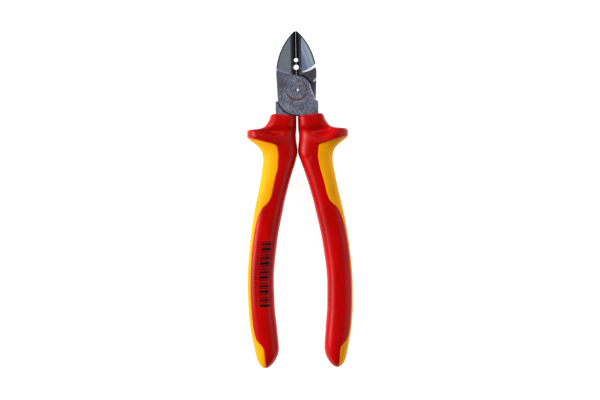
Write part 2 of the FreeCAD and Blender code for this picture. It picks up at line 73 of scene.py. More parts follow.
# Stations across a grip, from the joint down to the end of the handle:
# inner edge x and y, outer edge x and y, half thickness, squareness of the section.
STATIONS = [
    (0.30, -12.40, 11.90, -10.95, 7.5, 3.4),
    (0.30, -12.90, 12.70, -12.00, 7.7, 3.4),
    (0.33, -14.20, 13.20, -13.60, 7.9, 3.4),
    (0.36, -15.60, 14.00, -15.00, 8.0, 3.3),
    (0.38, -16.80, 14.95, -16.30, 8.1, 3.2),
    (0.40, -17.60, 16.30, -17.35, 8.1, 3.1),
    (0.42, -18.20, 18.60, -17.95, 8.1, 3.0),
    (0.46, -18.80, 21.40, -18.30, 8.1, 2.9),
    (0.52, -19.30, 23.30, -18.55, 8.1, 2.9),
    (0.62, -19.90, 24.00, -19.40, 8.1, 2.9),
    (0.72, -20.80, 24.12, -20.60, 8.0, 2.9),
    (0.75, -21.80, 24.00, -21.90, 8.0, 2.9),
    (0.70, -22.80, 23.30, -22.90, 7.9, 2.9),
    (0.62, -23.80, 22.00, -23.90, 7.9, 2.9),
    (0.48, -25.00, 20.40, -25.05, 7.9, 2.9),
    (0.30, -26.30, 18.90, -26.40, 7.9, 2.9),
    (0.12, -27.80, 17.75, -27.80, 7.8, 2.9),
    (0.12, -29.20, 17.00, -29.40, 7.8, 2.9),
    (0.35, -30.70, 16.60, -31.20, 7.8, 2.9),
    (1.00, -32.50, 16.50, -33.00, 7.8, 2.8),
    (2.45, -37.00, 17.00, -37.00, 7.9, 2.8),
    (5.20, -46.00, 18.70, -46.20, 8.1, 2.8),
    (8.20, -58.00, 21.35, -58.30, 8.1, 2.8),
    (11.10, -73.00, 23.65, -73.40, 8.1, 2.8),
    (12.85, -91.00, 24.95, -91.20, 7.9, 2.8),
    (12.60, -103.00, 24.80, -103.10, 7.6, 2.8),
    (11.75, -112.00, 24.05, -112.10, 7.3, 2.7),
    (11.10, -118.50, 23.00, -118.50, 7.0, 2.6),
    (10.92, -121.50, 22.40, -121.50, 6.8, 2.5),
    (11.30, -124.60, 21.80, -124.50, 6.5, 2.4),
    (12.60, -128.00, 20.95, -127.90, 5.7, 2.3),
    (14.40, -130.40, 19.60, -130.30, 4.2, 2.2),
    (15.90, -131.45, 18.20, -131.45, 2.4, 2.1),
    (17.05, -131.70, 17.10, -131.70, 0.1, 2.0),
]

# The line between shell and pad on the front and the back: y, x.
PAD_LINE = [
    (-18.00, 18.60),
    (-18.35, 21.60),
    (-18.90, 23.20),
    (-19.60, 23.65),
    (-22.00, 23.60),
    (-22.70, 22.30),
    (-23.40, 19.70),
    (-24.15, 16.70),
    (-24.90, 13.60),
    (-25.55, 11.20),
    (-26.20, 10.15),
    (-27.20, 9.65),
    (-31.50, 9.20),
    (-34.50, 9.55),
    (-43.00, 11.70),
    (-51.00, 13.70),
    (-53.00, 14.90),
    (-56.00, 18.00),
    (-61.00, 20.30),
    (-67.00, 21.70),
    (-79.00, 23.30),
    (-94.00, 24.00),
    (-109.00, 23.35),
    (-115.00, 22.50),
    (-118.50, 21.20),
    (-120.50, 19.30),
    (-122.25, 18.25),
    (-127.50, 17.65),
    (-131.70, 17.05),
]

# By side, how far the seam lies outside that line, and the y from which it does.
PAD_MOVED = {-1: (-0.45, -33.0), 1: (0.4, -24.0)}
PAD_MOVED_FADE = 5.0

# By side, how much wider the handle is at its inner edge than the stations say.
WIDER = {-1: 0.4, 1: 0.0}
WIDER_START, WIDER_FADE = -29.0, 7.0    # the y from which it is, and the length of the change

ROW_STEP = 0.4           # between rows of the mesh, along the handle
RIM_TURNS = (0, 20, 40, 60, 75)      # degrees round the rim of its rows
SECTION_POINTS = 361     # along the front half of a section, before it is cut into columns
TOP_ROUND = 0.8          # radius of the rim around the steel
STEEL_HOLE = (2.4, 9.4, 4.4, 8.0)    # inner x, outer x, half thickness, squareness
RED_COLUMNS, PAD_COLUMNS = 34, 18    # on the front half of a section
SEAM_COLUMNS = (0.1, 0.3, 0.6)       # extra columns beside the seam, as shares of its reach
SEAM_REACH, SEAM_DEEP, SEAM_WIDE = 0.9, 0.11, 0.22   # reach of the columns; the groove
SEAM_FADE = 2.0          # the seam is shallower where the pad is narrower than this
PAD_THICK = 1.2
PAD_FULL, HANDLE_FULL = 3.0, 8.0     # it is thinner where pad or handle is narrower than this
PAD_RISE = 4.0           # the seam climbs from the middle plane over this much of the handle
PAD_LEAST = 0.4          # there is no pad where its front half would be narrower than this

GUARD_TIP = (9.2, -25.85)            # lowest point of the guard's front edge
GUARD_SLOPES = (0.28, 0.66)          # of that edge, outwards and inwards
GUARD_CORNER = 1.3                   # radius of the corner between the two
GUARD_STEP = 0.35                    # the neck stands this far over the handle
GUARD_RIDGE = 2.85                   # height of the guard's ridge at its outer end
RIDGE_CLIMB = (6.0, 21.0)            # the ridge climbs to that height between these x
RIDGE_WIDE, RIDGE_FADE = 3.2, 2.8    # its crest, and the slope above the crest
RIDGE_TIP = (14.0, 21.0)             # between these x it widens to the guard's top edge
STEP_SHORT, STEP_LONGER = 0.6, 3.2   # length of the step outside, and what is added inside
STEP_CHANGE = (5.5, 10.5)            # the step changes its length between these x
NECK_VALLEY = (11.0, -19.3, 6.2, 2.0, 1.9)    # x, y, reach in x and y, and depth

RIB_PITCH, RIB_DEEP = 4 * ROW_STEP, 0.32
RIB_STRETCHES = [(-56.0, -35.0), (-123.0, -112.0)]
RIB_FADE = 2.5                       # they grow to full depth over this much of the handle
RIB_REACH = 4.2                      # from the inner edge round onto the front

THUMB_DENT = (5.2, -32.0, 1.9, 0.3)  # x, y, radius and depth of a shallow dent

PRINT_SPAN = (-102.5, -71.5)         # the printed bars on the left handle
PRINT_EDGES = (0.165, 0.55)          # their ends, as shares of the handle's width
PRINT_RHYTHM = (0.35, 0.35, 0.9, 0.4, 0.35, 0.6, 1.3, 0.35, 0.5, 0.9, 0.35, 0.3)
TICK_EDGES = (0.66, 0.73)
TICK_WIDE, TICK_GAP = 0.5, 0.75
INK_THICK, INK_PROUD = 0.06, 0.02    # the ink's thickness, and how far it stands out
INK_COLUMNS = 7

TO_BACK = (1, 1, -1)     # turns a point on the front into the one behind it
WELD, SLIVER = 3e-6, 1e-6            # metres, when a mesh is cleaned
SHARP_ANGLE = 40                     # degrees, from which an edge is shaded sharp


def smooth(share):
    """Runs from 0 to 1 with level ends as share does."""
    share = np.clip(share, 0.0, 1.0)
    return share * share * (3 - 2 * share)


def smooth_between(value, low, high):
    return smooth((value - low) / (high - low))


def curve_through(knots, values, places):
    """Values of a cubic curve through the knots that doesn't overshoot them."""
    gaps = np.diff(knots)
    rises = np.diff(values) / gaps
    slopes = np.zeros(len(knots))
    slopes[0], slopes[-1] = rises[0], rises[-1]
    for k in range(1, len(knots) - 1):
        if rises[k - 1] * rises[k] > 0:
            before, after = 2 * gaps[k] + gaps[k - 1], gaps[k] + 2 * gaps[k - 1]
            slopes[k] = (before + after) / (before / rises[k - 1] + after / rises[k])
    k = np.clip(np.searchsorted(knots, places) - 1, 0, len(gaps) - 1)
    t = (places - knots[k]) / gaps[k]
    start = (1 + 2 * t) * (1 - t) ** 2 * values[k] + t * (1 - t) ** 2 * gaps[k] * slopes[k]
    end = t * t * (3 - 2 * t) * values[k + 1] + t * t * (t - 1) * gaps[k] * slopes[k + 1]
    return start + end


# --- the grips' surface -------------------------------------------------------------------
station_table = np.array(STATIONS)
inner_steps = np.hypot(*np.diff(station_table[:, 0:2], axis=0).T)
outer_steps = np.hypot(*np.diff(station_table[:, 2:4], axis=0).T)
station_marks = np.concatenate([[0], np.cumsum((inner_steps + outer_steps) / 2)])
pad_table = np.array(PAD_LINE)[::-1]


def row_marks():
    """Distances down the handle of the mesh's rows, closer together round the rim."""
    rim = [TOP_ROUND * (1 - math.cos(math.radians(turn))) for turn in RIM_TURNS]
    body = np.arange(TOP_ROUND, station_marks[-1] - ROW_STEP / 2, ROW_STEP)
    return np.concatenate([rim, body, [station_marks[-1]]])


def station_at(mark):
    """Inner x, y, outer x, y, half thickness and squareness at a distance down the handle."""
    return [
        float(curve_through(station_marks, station_table[:, column], np.array([mark]))[0])
        for column in range(station_table.shape[1])
    ]


def pad_line_x(y):
    """Where the seam's line is at height y."""
    return curve_through(pad_table[:, 0], pad_table[:, 1], np.clip(y, *pad_table[[0, -1], 0]))


def guard_height(x, y):
    """How far the neck and the guard's ridge stand over the handle."""
    outwards = x - GUARD_TIP[0]
    lean = (GUARD_SLOPES[0] - GUARD_SLOPES[1]) / 2
    spread = (GUARD_SLOPES[0] + GUARD_SLOPES[1]) / 2
    rounded = np.hypot(outwards, GUARD_CORNER) - GUARD_CORNER
    above = y - (GUARD_TIP[1] + lean * outwards + spread * rounded)
    softness = STEP_SHORT + STEP_LONGER * (1 - smooth_between(x, *STEP_CHANGE))
    ridge = GUARD_RIDGE * smooth_between(x, *RIDGE_CLIMB)
    at_tip = smooth_between(x, *RIDGE_TIP)
    crest = 1 - smooth((above - RIDGE_WIDE) / RIDGE_FADE) * (1 - at_tip)
    centre_x, centre_y, wide, high, deep = NECK_VALLEY
    valley = deep * np.exp(-((x - centre_x) / wide) ** 2 - ((y - centre_y) / high) ** 2)
    return smooth(above / softness) * (GUARD_STEP + ridge * crest) - valley


def thumb_dent(x, y):
    """Depth of the shallow dent below the guard."""
    centre_x, centre_y, radius, deep = THUMB_DENT
    away = np.hypot(x - centre_x, y - centre_y) / radius
    return deep * (1 - smooth(away))


def rib_depth(mark, y):
    """Depth of the anti-slip ribs at a row, zero outside their stretches."""
    for low_y, high_y in RIB_STRETCHES:
        if low_y < y < high_y:
            fade = smooth(min(y - low_y, high_y - y) / RIB_FADE)
            wave = (1 - math.cos(2 * math.pi * mark / RIB_PITCH)) / 2
            return RIB_DEEP * float(fade) * wave
    return 0.0


def wider_by(side, y):
    """How much wider a side's handle is than the stations say, at its inner edge."""
    start = smooth((WIDER_START - y) / WIDER_FADE)
    end = smooth((y - STATIONS[-1][1]) / WIDER_FADE)
    return WIDER[side] * float(start * end)


class Section:
    """The front half of a grip's section at one row, from its inner to its outer edge."""

    def __init__(self, mark, side, shape=None):
        in_x, in_y, out_x, out_y, half, squareness = shape or station_at(mark)
        if shape is None:
            in_x -= wider_by(side, in_y)
        self.inner = np.array([in_x, in_y])
        self.across = np.array([out_x, out_y]) - self.inner
        self.wide = np.hypot(*self.across)
        turn = np.linspace(0, math.pi, SECTION_POINTS)
        cosine = np.cos(turn)
        share = (1 - np.sign(cosine) * np.abs(cosine) ** (2 / squareness)) / 2
        x, y = self.inner[:, None] + self.across[:, None] * share
        self.bulge = np.abs(np.sin(turn)) ** (2 / squareness)
        height = half + guard_height(x, y) - thumb_dent(x, y) if shape is None else half
        self.share, self.x, self.y = share, x, y
        self.z = self.bulge * height
        self._measure()
        if shape is None:
            reach = smooth(1 - self.length / RIB_REACH)
            self._move_in(rib_depth(mark, in_y) * reach)
        if mark < TOP_ROUND and shape is None:
            rest = TOP_ROUND - mark
            self._move_in(TOP_ROUND - math.sqrt(TOP_ROUND ** 2 - rest ** 2))

    def _measure(self):
        """Finds the length to each point and the way into the grip there."""
        steps = np.sqrt(np.diff(self.x) ** 2 + np.diff(self.y) ** 2 + np.diff(self.z) ** 2)
        self.length = np.concatenate([[0], np.cumsum(steps)])
        unit = self.across / self.wide
        along = np.gradient(self.share * self.wide)
        rise = np.gradient(self.z)
        size = np.maximum(np.hypot(along, rise), 1e-9)
        self.in_x, self.in_y = unit[:, None] * (rise / size)
        self.in_z = -along / size

    def _move_in(self, depth):
        """Moves the skin into the grip."""
        self.x = self.x + self.in_x * depth
        self.y = self.y + self.in_y * depth
        self.z = np.maximum(self.z + self.in_z * depth, 0)
        self._measure()

    def seam(self, side):
        """Length from the inner edge to where the pad starts on a side's handle."""
        moved, start_y = PAD_MOVED[side]
        beyond = self.x - pad_line_x(self.y) - moved * smooth((start_y - self.y) / PAD_MOVED_FADE)
        beyond[0] = -1
        over = np.nonzero(beyond > 0)[0]
        if not len(over):
            return self.length[-1]
        k = over[0]
        share = beyond[k - 1] / (beyond[k - 1] - beyond[k])
        return self.length[k - 1] + share * (self.length[k] - self.length[k - 1])

    def points(self, lengths, depths):
        """Points at lengths round the section, moved in by depths, as (x, y, z)."""
        place = [np.interp(lengths, self.length, v) for v in (self.x, self.y, self.z)]
        way_in = [np.interp(lengths, self.length, v) for v in (self.in_x, self.in_y, self.in_z)]
        moved = [p + w * depths for p, w in zip(place, way_in)]
        return np.stack(moved, axis=1)


def column_lengths(start, end, count, seam_at_start):
    """Lengths of a part's columns, drawn together beside its seam."""
    reach = min(SEAM_REACH, (end - start) / 3)
    near = np.array([0, *SEAM_COLUMNS]) * reach
    far = np.linspace(reach, end - start, count)
    steps = np.concatenate([near, far])
    return start + steps if seam_at_start else end - steps[::-1]


def seam_groove(distance):
    """Depth of the groove at a distance from the seam."""
    return SEAM_DEEP * np.exp(-(distance / SEAM_WIDE) ** 2)


def whole_ring(half):
    """A closed ring from its front half, which starts and ends at the middle plane."""
    back = half[-2:0:-1] * TO_BACK
    return np.concatenate([half, back])


def pad_ring(skin, bed):
    """A closed ring round the pad, out along its skin and back along its bed."""
    outside = np.concatenate([skin, skin[-2::-1] * TO_BACK])
    inside = np.concatenate([bed, bed[-2::-1] * TO_BACK])[::-1]
    return np.concatenate([outside, inside])


def steel_hole(side):
    """The section of the opening round the steel, in the plane of the grip's top."""
    in_x, out_x, half, squareness = STEEL_HOLE
    top_in_x, top_in_y, top_out_x, top_out_y = station_at(0)[:4]
    slope = (top_out_y - top_in_y) / (top_out_x - top_in_x)
    in_y, out_y = (top_in_y + slope * (x - top_in_x) for x in (in_x, out_x))
    return Section(0, side, (in_x, in_y, out_x, out_y, half, squareness))


def grip_rings(side):
    """Rings of points down the shell and the pad of a side's handle."""
    shell_rings, pad_rings = [], []
    pad_start = None
    for mark in [None, *row_marks()]:
        section = steel_hole(side) if mark is None else Section(mark, side)
        total = section.length[-1]
        seam = total if mark is None else section.seam(side)
        if pad_start is None and seam < total:
            pad_start = mark
        if pad_start is not None:
            climb = float(smooth((mark - pad_start) / PAD_RISE))
            seam = total - climb * (total - seam)
        if total - seam < PAD_LEAST:
            seam = total
        red = column_lengths(0, seam, RED_COLUMNS, seam_at_start=False)
        pad = column_lengths(seam, total, PAD_COLUMNS, seam_at_start=True)
        room = min((total - seam) / PAD_FULL, section.wide / HANDLE_FULL)
        thick = PAD_THICK * float(smooth(room))
        open_row = mark is not None and seam < total
        groove = float(smooth((total - seam) / SEAM_FADE))
        red_points = section.points(red, groove * seam_groove(seam - red))
        bed_points = section.points(pad, np.full(len(pad), thick))
        bed_points[-1, 2] = 0
        red_points[0, 2] = 0
        if not open_row:
            red_points[-1, 2] = 0
        shell_rings.append(whole_ring(np.concatenate([red_points, bed_points])))
        if mark is not None:
            skin = section.points(pad, groove * seam_groove(pad - seam))
            skin[-1, 2] = 0
            if not open_row:
                skin[:, 2] = 0
            pad_rings.append((open_row, pad_ring(skin, bed_points)))
    open_rows = [k for k, (is_open, _) in enumerate(pad_rings) if is_open]
    closed = slice(open_rows[0] - 1, open_rows[-1] + 2)
    return shell_rings, [ring for _, ring in pad_rings[closed]]


def mesh_from_rings(name, rings, side):
    """A closed mesh through rings of points, mirrored onto the handle's side."""
    mesh = bpy.data.meshes.new(name)
    made = bmesh.new()
    corners = [
        [made.verts.new(Vector((side * x, y, z + MID_Z)) * MM) for x, y, z in ring]
        for ring in rings
    ]
    for upper, lower in zip(corners, corners[1:]):
        for k in range(len(upper)):
            after = (k + 1) % len(upper)
            made.faces.new([upper[k], upper[after], lower[after], lower[k]])
    made.faces.new(corners[0])
    made.faces.new(corners[-1][::-1])
    bmesh.ops.remove_doubles(made, verts=made.verts, dist=WELD)
    bmesh.ops.dissolve_degenerate(made, edges=made.edges, dist=SLIVER)
    bmesh.ops.recalc_face_normals(made, faces=made.faces)
    made.to_mesh(mesh)
    made.free()
    mesh.shade_smooth()
    mesh.set_sharp_from_angle(angle=math.radians(SHARP_ANGLE))
    piece = bpy.data.objects.new(name, mesh)
    bpy.context.scene.collection.objects.link(piece)
    return piece


# --- the printed bars -----------------------------------------------------------------------
def skin_point(side, mark, share):
    """A point on the grip's front, and the way out of it there."""
    section = Section(mark, side)
    length = np.interp(share, section.share, section.length)
    place = section.points(np.array([length]), 0)[0]
    inwards = section.points(np.array([length]), 1)[0] - place
    return place, -inwards


def ink_patch(made, side, marks, shares):
    """A thin closed slab of ink lying on the grip between two marks and two shares."""
    columns = np.linspace(*shares, INK_COLUMNS)
    top, bottom = [], []
    for mark in marks:
        pairs = [skin_point(side, mark, share) for share in columns]
        for level, proud in ((top, INK_PROUD), (bottom, INK_PROUD - INK_THICK)):
            places = [place + out * proud for place, out in pairs]
            level.append([
                made.verts.new(Vector((side * x, y, z + MID_Z)) * MM) for x, y, z in places
            ])
    last = len(columns) - 1
    for k in range(last):
        made.faces.new([top[0][k], top[0][k + 1], top[1][k + 1], top[1][k]])
        made.faces.new([bottom[0][k + 1], bottom[0][k], bottom[1][k], bottom[1][k + 1]])
        for row in (0, 1):
            made.faces.new([top[row][k], top[row][k + 1], bottom[row][k + 1], bottom[row][k]])
    for k in (0, last):
        made.faces.new([top[0][k], top[1][k], bottom[1][k], bottom[0][k]])


def mark_at_y(y):
    """Distance down the handle where its middle is at height y."""
    middle_y = (station_table[:, 1] + station_table[:, 3]) / 2
    return float(np.interp(-y, -middle_y, station_marks))


def make_print(side):
    """Bars in a plain rhythm and a row of even ticks. They encode nothing."""
    made = bmesh.new()
    end, start = (mark_at_y(y) for y in PRINT_SPAN)
    at, number = start, 0
    while at + max(PRINT_RHYTHM) < end:
        wide = PRINT_RHYTHM[number % len(PRINT_RHYTHM)]
        if number % 2 == 0:
            ink_patch(made, side, (at, at + wide), PRINT_EDGES)
        at, number = at + wide, number + 1
    at = start
    while at + TICK_WIDE < end:
        ink_patch(made, side, (at, at + TICK_WIDE), TICK_EDGES)
        at += TICK_WIDE + TICK_GAP
    bmesh.ops.recalc_face_normals(made, faces=made.faces)
    mesh = bpy.data.meshes.new("printed_bars")
    made.to_mesh(mesh)
    made.free()
    piece = bpy.data.objects.new("printed_bars", mesh)
    bpy.context.scene.collection.objects.link(piece)
    return piece


# --- materials ------------------------------------------------------------------------------
def colour(red, green, blue):
    """A display colour, 0 to 255, as the linear colour that a shader takes."""
    shares = [value / 255 for value in (red, green, blue)]
    linear = [s / 12.92 if s <= 0.04045 else ((s + 0.055) / 1.055) ** 2.4 for s in shares]
    return (*linear, 1.0)


class Paint:
    """A node material, with short words for its nodes and places in millimetres."""

    def __init__(self, name):
        self.material = bpy.data.materials.new(name)
        self.material.use_nodes = True
        self.tree = self.material.node_tree
        self.shader = self.tree.nodes["Principled BSDF"]
        here = self.node("ShaderNodeTexCoord").outputs["Object"]
        self.place = self.node(
            "ShaderNodeVectorMath", {0: here, 1: (1 / MM,) * 3}, operation="MULTIPLY"
        ).outputs["Vector"]
        split = self.node("ShaderNodeSeparateXYZ", {0: self.place})
        self.x, self.y, self.z = split.outputs

    def node(self, kind, inputs=None, **settings):
        node = self.tree.nodes.new(kind)
        for name, value in settings.items():
            setattr(node, name, value)
        for socket, value in (inputs or {}).items():
            self.put(node.inputs[socket], value)
        return node

    def put(self, socket, value):
        if isinstance(value, bpy.types.NodeSocket):
            self.tree.links.new(value, socket)
        else:
            socket.default_value = value

    def number(self, operation, *values):
        inputs = dict(enumerate(values))
        return self.node("ShaderNodeMath", inputs, operation=operation).outputs[0]

    def normal(self):
        """The three parts of the surface's direction, turned with the piece."""
        facing = self.node("ShaderNodeNewGeometry").outputs["Normal"]
        turned = self.node(
            "ShaderNodeVectorTransform", {0: facing},
            vector_type="NORMAL", convert_from="WORLD", convert_to="OBJECT",
        )
        return self.node("ShaderNodeSeparateXYZ", {0: turned.outputs[0]}).outputs

    def rise(self, value, low, high):
        """0 below low and 1 above high, with a soft step between them."""
        inputs = {"Value": value, "From Min": low, "From Max": high}
        return self.node(
            "ShaderNodeMapRange", inputs, interpolation_type="SMOOTHSTEP"
        ).outputs["Result"]

    def fall(self, value, low, high):
        return self.number("SUBTRACT", 1.0, self.rise(value, low, high))

    def both(self, *masks):
        product = masks[0]
        for mask in masks[1:]:
            product = self.number("MULTIPLY", product, mask)
        return product

    def noise(self, scale, stretch=(1, 1, 1), detail=4.0, distortion=0.0):
        """Noise with about scale blobs in a millimetre."""
        place = self.node(
            "ShaderNodeVectorMath", {0: self.place, 1: stretch}, operation="MULTIPLY"
        ).outputs["Vector"]
        inputs = {"Vector": place, "Scale": scale, "Detail": detail, "Distortion": distortion}
        return self.node("ShaderNodeTexNoise", inputs).outputs["Fac"]

    def ramp(self, value, *stops):
        """A colour for each value, from (value, colour) stops."""
        node = self.node("ShaderNodeValToRGB", {"Fac": value})
        points = node.color_ramp.elements
        while len(points) < len(stops):
            points.new(0.5)
        for point, (position, tint) in zip(points, stops):
            point.position, point.color = position, tint
        return node.outputs["Color"]

    def mix(self, share, first, second):
        inputs = {"Factor": share, 6: first, 7: second}
        return self.node("ShaderNodeMix", inputs, data_type="RGBA").outputs[2]

    def bump(self, height, strength, deep):
        inputs = {"Height": height, "Strength": strength, "Distance": deep * MM}
        self.put(self.shader.inputs["Normal"], self.node("ShaderNodeBump", inputs).outputs[0])

    def mirror(self, level):
        """Sets how strongly a plastic reflects, where 0.5 is usual."""
        self.shader.inputs["Specular IOR Level"].default_value = level

    def finish(self, **sockets):
        for name, value in sockets.items():
            self.put(self.shader.inputs[name.replace("_", " ").title()], value)
        return self.material


# Deep, plain and light tints of each plastic.
REDS = colour(156, 0, 0), colour(172, 0, 0), colour(188, 0, 2)
YELLOWS = colour(216, 138, 0), colour(226, 150, 0), colour(236, 164, 0)


def moulded_plastic(name, deep, plain, light, roughness):
    """Moulded plastic with a fine grain, faint flow marks and pale speckles."""
    paint = Paint(name)
    flow = paint.noise(0.12, (1, 0.4, 1), 3.0)
    grain = paint.noise(5.0, detail=3.0)
    tint = paint.ramp(flow, (0.3, deep), (0.5, plain), (0.75, light))
    speckle = paint.rise(paint.noise(1.6, (1, 1, 1), 5.0), 0.62, 0.8)
    tint = paint.mix(paint.number("MULTIPLY", speckle, 0.35), tint, light)
    paint.bump(grain, 0.35, 0.05)
    rough = paint.number("MULTIPLY_ADD", paint.noise(0.5, detail=4.0), 0.2, roughness)
    return paint, tint, rough


def red_shell_material():
    paint, tint, rough = moulded_plastic("red_moulded_plastic", *REDS, roughness=0.26)
    paint.mirror(0.1)
    return paint.finish(base_color=tint, roughness=rough)


def yellow_pad_material():
    paint, tint, rough = moulded_plastic("yellow_soft_plastic", *YELLOWS, roughness=0.46)
    paint.mirror(0.06)
    return paint.finish(base_color=tint, roughness=rough)


def ink_material():
    """Black ink that is rubbed thin in places."""
    paint = Paint("worn_black_ink")
    worn = paint.rise(paint.noise(2.2, detail=4.0), 0.5, 0.72)
    tint = paint.mix(paint.number("MULTIPLY", worn, 0.45), colour(8, 4, 8), colour(70, 4, 8))
    paint.mirror(0.1)
    return paint.finish(base_color=tint, roughness=0.6)


def forged_colour(paint):
    """Mottled forged steel with a fine upright grain."""
    grain = paint.noise(2.6, (1.0, 0.32, 1.0), 6.0, 0.3)
    blotches = paint.noise(0.35, (1, 0.7, 1), 4.0)
    speck = paint.number("MULTIPLY_ADD", blotches, 0.35, paint.number("MULTIPLY", grain, 0.65))
    blue = paint.ramp(
        speck,
        (0.30, colour(58, 58, 72)),
        (0.44, colour(96, 100, 120)),
        (0.54, colour(130, 135, 158)),
        (0.66, colour(170, 176, 200)),
    )
    brown = paint.ramp(
        speck,
        (0.30, colour(54, 48, 54)),
        (0.44, colour(98, 90, 98)),
        (0.54, colour(136, 127, 134)),
        (0.66, colour(182, 174, 178)),
    )
    patches = paint.rise(paint.noise(0.8, (1.4, 0.6, 1), 5.0), 0.42, 0.66)
    return paint.mix(paint.number("MULTIPLY", patches, 0.75), blue, brown)


RUST_RADIUS, RUST_WIDE = 4.87, 0.2
# Degrees round the rivet at which a stretch of rust starts and ends, and its strength.
RUST_STRETCHES = [(-165, -18, 1.0), (-10, 30, 0.9), (48, 64, 0.9), (165, 180, 0.6)]
RUST_FADE = 12


def distance(paint, centre_x, centre_y, side=1):
    """Distance across the face from a point, measured with x outwards on a side."""
    off_x = paint.number("MULTIPLY_ADD", paint.x, side, -centre_x)
    off_y = paint.number("SUBTRACT", paint.y, centre_y)
    squares = paint.number("ADD", paint.both(off_x, off_x), paint.both(off_y, off_y))
    return paint.number("SQRT", squares)


def rust_ring(paint, tint):
    """A broken ring of rust where the rivet's head meets the plate."""
    radius = distance(paint, 0, 0)
    waver = paint.number("MULTIPLY_ADD", paint.noise(0.9, detail=3.0), 0.5, -0.25)
    off = paint.number("ABSOLUTE", paint.number("SUBTRACT", radius, RUST_RADIUS))
    ragged = paint.number("ADD", off, waver)
    turn = paint.number("MULTIPLY", paint.number("ARCTAN2", paint.y, paint.x), 180 / math.pi)
    stretches = 0.0
    for low, high, strength in RUST_STRETCHES:
        inside = paint.both(
            paint.rise(turn, low, low + RUST_FADE), paint.fall(turn, high - RUST_FADE, high)
        )
        stretches = paint.number("MAXIMUM", stretches, paint.number("MULTIPLY", inside, strength))
    front = paint.rise(paint.z, RIVET_HIGH.z - 0.3, RIVET_HIGH.z - 0.1)
    seam = paint.number("MULTIPLY", paint.fall(off, 0.03, 0.16), 0.3)
    tint = paint.mix(paint.both(seam, front), tint, colour(62, 56, 64))
    mask = paint.both(paint.fall(ragged, RUST_WIDE, RUST_WIDE + 0.3), stretches, front)
    rust = paint.ramp(
        paint.noise(2.0, detail=5.0), (0.35, colour(78, 46, 34)), (0.65, colour(136, 84, 52))
    )
    return paint.mix(mask, tint, rust)


class Jaw:
    """Where a jaw is ground and how each of its faces looks.

    Its side is -1 on the left and +1 on the right. facet and cheek are functions that paint those
    faces, wall is the tint of the painted highlight on the step, and bevel is three tints across
    the bevel.
    """

    def __init__(self, side, arc_y, arc_radius, facet, wall, bevel, cheek):
        self.side, self.arc_y, self.arc_radius = side, arc_y, arc_radius
        self.facet, self.wall, self.bevel, self.cheek = facet, wall, bevel, cheek


OGIVE = (-18.94, 7.5, 28.54)         # x, y and radius of a jaw's outer curve, x outwards
RIM_WIDE = 0.75                      # painted shade: a dark rim this wide along that curve
HOLES = ((14.4, 0.9), (10.95, 1.15))    # y and radius of the stripping holes
HOLE_SHADE = (0.7, 1.1)              # the shade round a hole ends this far from it
FACET_X = 2.4                        # the facet starts this far from the cutting edge
BEVEL_END = (2.9, 3.3)               # and the bevel beside that edge fades out here
STEP_HIGHLIGHT_END = (1.4, 1.8)                # the painted highlight on the step fades out this far from the arc
STEP_RADIUS = 7.4                    # the right cheek is in shadow this close to the rivet
CORNER_GLINT = (9.2, 4.3, 0.85)              # x, y and radius of the painted highlight on the corner of the right jaw


def jaw_colour(paint, tint, jaw, facing):
    """Paints a jaw's ground facet and dark bevel, a painted highlight on the step and painted
    shade along the rim, and gives the mask of painted shade round the stripping holes.
    """
    steepness = paint.number("ABSOLUTE", facing[2])
    out = paint.number("MULTIPLY", paint.x, jaw.side)
    arc = distance(paint, 0, jaw.arc_y)
    inside = paint.fall(arc, jaw.arc_radius, jaw.arc_radius + 0.06)
    on_jaw = paint.both(inside, paint.rise(out, -0.3, -0.25))
    level = paint.rise(steepness, 0.94, 0.96)
    rim_at = OGIVE[2] - RIM_WIDE
    rim = paint.rise(distance(paint, OGIVE[0], OGIVE[1], jaw.side), rim_at - 0.1, rim_at + 0.1)
    facet = paint.both(on_jaw, level, paint.rise(out, FACET_X - 0.05, FACET_X + 0.05))
    steep = paint.fall(steepness, 0.9, 0.94)
    # painted highlight on the steep face of the step beside the ground facet
    step = paint.both(
        steep,
        paint.rise(steepness, 0.2, 0.3),
        paint.rise(arc, jaw.arc_radius - 0.1, jaw.arc_radius),
        paint.fall(arc, jaw.arc_radius + STEP_HIGHLIGHT_END[0], jaw.arc_radius + STEP_HIGHLIGHT_END[1]),
        paint.rise(out, 2.8, 3.4),
        paint.rise(paint.y, 7.4, 7.6),
    )
    bevel = paint.both(
        paint.fall(out, *BEVEL_END),
        paint.rise(out, -0.3, -0.25),
        paint.fall(arc, jaw.arc_radius, jaw.arc_radius + 0.5),
        paint.number("SUBTRACT", 1.0, facet),
    )
    tint = paint.mix(facet, tint, jaw.facet(paint))
    tint = paint.mix(step, tint, jaw.wall)
    streaks = paint.noise(1.2, (4, 0.3, 1), 4.0)
    share = paint.number("MULTIPLY_ADD", streaks, 0.35, paint.number("MULTIPLY", out, 0.22))
    dark = paint.ramp(share, *zip((0.15, 0.5, 0.85), jaw.bevel))
    tint = paint.mix(bevel, tint, dark)
    # painted shade along the jaw's outer curve, where its side rolls away from the front
    rim_shade_mask = paint.both(on_jaw, rim)
    tint = paint.mix(paint.number("MULTIPLY", rim_shade_mask, 0.9), tint, colour(38, 41, 54))
    hole = 0.0
    for y, radius in HOLES:
        near = paint.fall(distance(paint, 0, y), *(radius + reach for reach in HOLE_SHADE))
        hole = paint.number("MAXIMUM", hole, near)
    return tint, paint.number("MAXIMUM", facet, bevel), hole


